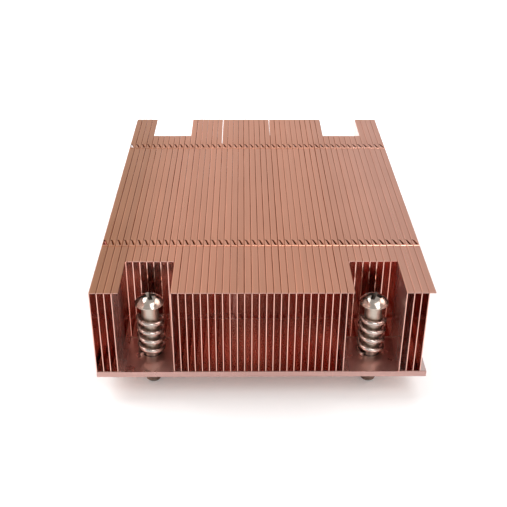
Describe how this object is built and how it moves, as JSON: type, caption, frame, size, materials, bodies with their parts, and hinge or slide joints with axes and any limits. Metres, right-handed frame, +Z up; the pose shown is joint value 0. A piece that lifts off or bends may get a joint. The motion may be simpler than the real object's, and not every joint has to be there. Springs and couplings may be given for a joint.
{
  "type": "passive server cpu heatsink",
  "caption": "Low copper heatsink for a server processor: a stack of interlocked folded fins on a base plate with a raised contact pad and captive spring-loaded corner screws.",
  "frame": {"origin": "middle of the contact pad's face, which presses on the processor", "axes": "+Z up, out of the plate through the fins; +Y along the fins and the air flow, towards the rear; +X across the fins, towards the right"},
  "size_m": [0.0822, 0.111, 0.0319],
  "materials": {
    "copper_fin": "satin",
    "copper_plate": "satin",
    "screw_steel": "polished",
    "ring_steel": "satin",
    "spring_steel": "satin"
  },
  "bodies": {
    "sink": {"base_plate": "copper_plate", "fin_01": "copper_fin", "fin_02": "copper_fin", "fin_03": "copper_fin", "fin_04": "copper_fin", "fin_05": "copper_fin", "fin_06": "copper_fin", "fin_07": "copper_fin", "fin_08": "copper_fin", "fin_09": "copper_fin", "fin_10": "copper_fin", "fin_11": "copper_fin", "fin_12": "copper_fin", "fin_13": "copper_fin", "fin_14": "copper_fin", "fin_15": "copper_fin", "fin_16": "copper_fin", "fin_17": "copper_fin", "fin_18": "copper_fin", "fin_19": "copper_fin", "fin_20": "copper_fin", "fin_21": "copper_fin", "fin_22": "copper_fin", "fin_23": "copper_fin", "fin_24": "copper_fin", "fin_25": "copper_fin", "fin_26": "copper_fin", "fin_27": "copper_fin", "fin_28": "copper_fin", "fin_29": "copper_fin", "fin_30": "copper_fin", "fin_31": "copper_fin", "fin_32": "copper_fin", "fin_33": "copper_fin", "fin_34": "copper_fin", "fin_35": "copper_fin", "fin_36": "copper_fin", "fin_37": "copper_fin", "fin_38": "copper_fin", "fin_39": "copper_fin", "fin_40": "copper_fin", "fin_41": "copper_fin", "fin_42": "copper_fin", "fin_43": "copper_fin", "fin_44": "copper_fin", "fin_45": "copper_fin", "fin_46": "copper_fin", "fin_47": "copper_fin", "spring_front_left": "spring_steel", "spring_front_right": "spring_steel", "spring_rear_left": "spring_steel", "spring_rear_right": "spring_steel"},
    "retaining_ring_front_left": {"retaining_ring_front_left": "ring_steel"},
    "screw_front_left": {"screw_front_left": "screw_steel"},
    "retaining_ring_front_right": {"retaining_ring_front_right": "ring_steel"},
    "screw_front_right": {"screw_front_right": "screw_steel"},
    "retaining_ring_rear_left": {"retaining_ring_rear_left": "ring_steel"},
    "screw_rear_left": {"screw_rear_left": "screw_steel"},
    "retaining_ring_rear_right": {"retaining_ring_rear_right": "ring_steel"},
    "screw_rear_right": {"screw_rear_right": "screw_steel"}
  },
  "joints": [
    {"name": "screw_travel_front_left", "type": "slide", "parent": "sink", "child": "retaining_ring_front_left", "axis": [0, 0, -1], "range_m": [0, 0.009], "deforming": ["spring_front_left"]},
    {"name": "screw_turn_front_left", "type": "hinge", "parent": "retaining_ring_front_left", "child": "screw_front_left", "pos_m": [-0.028, -0.047, 0], "axis": [0, 0, 1], "continuous": true},
    {"name": "screw_travel_front_right", "type": "slide", "parent": "sink", "child": "retaining_ring_front_right", "axis": [0, 0, -1], "range_m": [0, 0.009], "deforming": ["spring_front_right"]},
    {"name": "screw_turn_front_right", "type": "hinge", "parent": "retaining_ring_front_right", "child": "screw_front_right", "pos_m": [0.028, -0.047, 0], "axis": [0, 0, 1], "continuous": true},
    {"name": "screw_travel_rear_left", "type": "slide", "parent": "sink", "child": "retaining_ring_rear_left", "axis": [0, 0, -1], "range_m": [0, 0.009], "deforming": ["spring_rear_left"]},
    {"name": "screw_turn_rear_left", "type": "hinge", "parent": "retaining_ring_rear_left", "child": "screw_rear_left", "pos_m": [-0.028, 0.047, 0], "axis": [0, 0, 1], "continuous": true},
    {"name": "screw_travel_rear_right", "type": "slide", "parent": "sink", "child": "retaining_ring_rear_right", "axis": [0, 0, -1], "range_m": [0, 0.009], "deforming": ["spring_rear_right"]},
    {"name": "screw_turn_rear_right", "type": "hinge", "parent": "retaining_ring_rear_right", "child": "screw_rear_right", "pos_m": [0.028, 0.047, 0], "axis": [0, 0, 1], "continuous": true}
  ]
}
